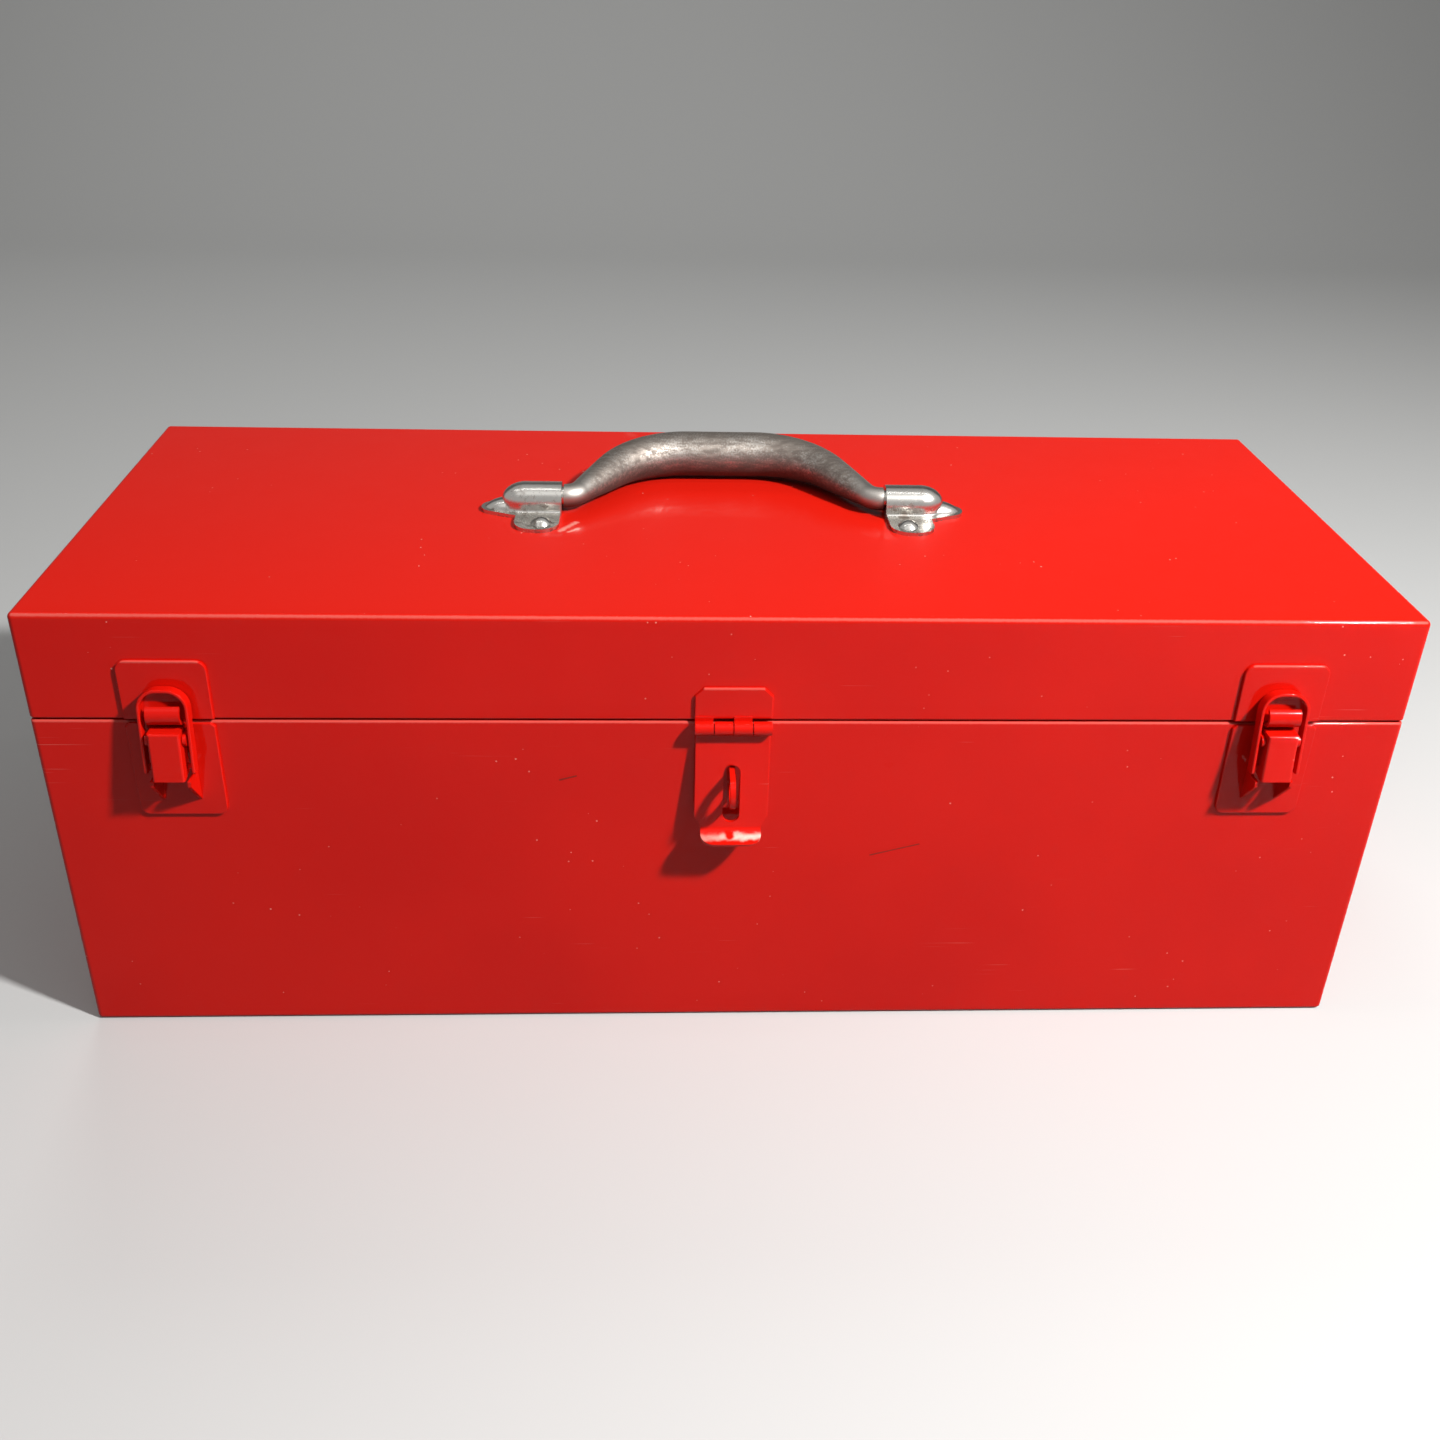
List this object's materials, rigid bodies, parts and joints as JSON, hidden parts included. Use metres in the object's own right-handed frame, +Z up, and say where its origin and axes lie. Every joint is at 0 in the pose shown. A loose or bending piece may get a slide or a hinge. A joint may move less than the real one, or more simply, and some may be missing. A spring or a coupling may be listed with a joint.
{
  "type": "toolbox",
  "caption": "Red steel hand toolbox with a flat hinged lid, draw latches, padlock hasp, folding steel carrying handle and a lift-out tray.",
  "frame": {"origin": "centre of the flat bottom face that the box stands on", "axes": "+X along the box to the right of a person facing the latches, +Y to the hinged back, +Z up"},
  "size_m": [0.508, 0.2259, 0.2015],
  "materials": {
    "red_enamel": "semi-gloss",
    "plated_steel": "worn plating",
    "pin_steel": "satin"
  },
  "bodies": {
    "body": {"body_wrap": "red_enamel", "body_left_end": "red_enamel", "body_right_end": "red_enamel", "tray_rest_left": "red_enamel", "tray_rest_right": "red_enamel", "hinge_body_leaf": "red_enamel", "hinge_pin": "pin_steel", "hasp_staple": "red_enamel", "left_latch_base": "red_enamel", "right_latch_base": "red_enamel", "left_lever_pin": "red_enamel", "right_lever_pin": "red_enamel"},
    "lid": {"lid_wrap": "red_enamel", "lid_left_end": "red_enamel", "lid_right_end": "red_enamel", "hinge_lid_leaf": "red_enamel", "left_catch_plate": "red_enamel", "right_catch_plate": "red_enamel", "hasp_leaf": "red_enamel", "hasp_pin": "red_enamel", "handle_left_bracket": "plated_steel", "handle_right_bracket": "plated_steel", "handle_rivets": "plated_steel", "handle_backing_plate": "red_enamel"},
    "left_lever": {"left_latch_lever": "red_enamel"},
    "right_lever": {"right_latch_lever": "red_enamel"},
    "left_loop": {"left_latch_loop": "red_enamel"},
    "right_loop": {"right_latch_loop": "red_enamel"},
    "hasp": {"hasp_strap": "red_enamel"},
    "handle": {"handle_rod": "plated_steel", "handle_grip": "plated_steel"},
    "tray": {"tray_wrap": "red_enamel", "tray_left_end": "red_enamel", "tray_right_end": "red_enamel", "tray_handle": "plated_steel", "tray_handle_rivets": "plated_steel"}
  },
  "joints": [
    {"name": "lid_hinge", "type": "hinge", "parent": "body", "child": "lid", "pos_m": [0, 0.1048, 0.14], "axis": [-1, 0, 0], "range_deg": [0, 105]},
    {"name": "tray_lift", "type": "slide", "parent": "body", "child": "tray", "axis": [0, 0, 1], "range_m": [0, 0.11]},
    {"name": "left_latch", "type": "hinge", "parent": "body", "child": "left_lever", "pos_m": [-0.204, -0.1085, 0.1358], "axis": [-1, 0, 0], "range_deg": [0, 120]},
    {"name": "right_latch", "type": "hinge", "parent": "body", "child": "right_lever", "pos_m": [0.204, -0.1085, 0.1358], "axis": [-1, 0, 0], "range_deg": [0, 120]},
    {"name": "left_link", "type": "hinge", "parent": "left_lever", "child": "left_loop", "pos_m": [-0.204, -0.108, 0.1245], "axis": [1, 0, 0], "range_deg": [0, 240]},
    {"name": "right_link", "type": "hinge", "parent": "right_lever", "child": "right_loop", "pos_m": [0.204, -0.108, 0.1245], "axis": [1, 0, 0], "range_deg": [0, 240]},
    {"name": "hasp_hinge", "type": "hinge", "parent": "lid", "child": "hasp", "pos_m": [0, -0.1045, 0.1385], "axis": [-1, 0, 0], "range_deg": [0, 140]},
    {"name": "handle_pivot", "type": "hinge", "parent": "lid", "child": "handle", "pos_m": [0, 0, 0.1883], "axis": [1, 0, 0], "range_deg": [0, 170]}
  ],
  "couplings": [
    {"joint": "tray_lift", "follows": "lid_hinge", "m_per_rad": 0.06},
    {"joint": "left_link", "follows": "left_latch", "ratio": 2},
    {"joint": "right_link", "follows": "right_latch", "ratio": 2}
  ]
}
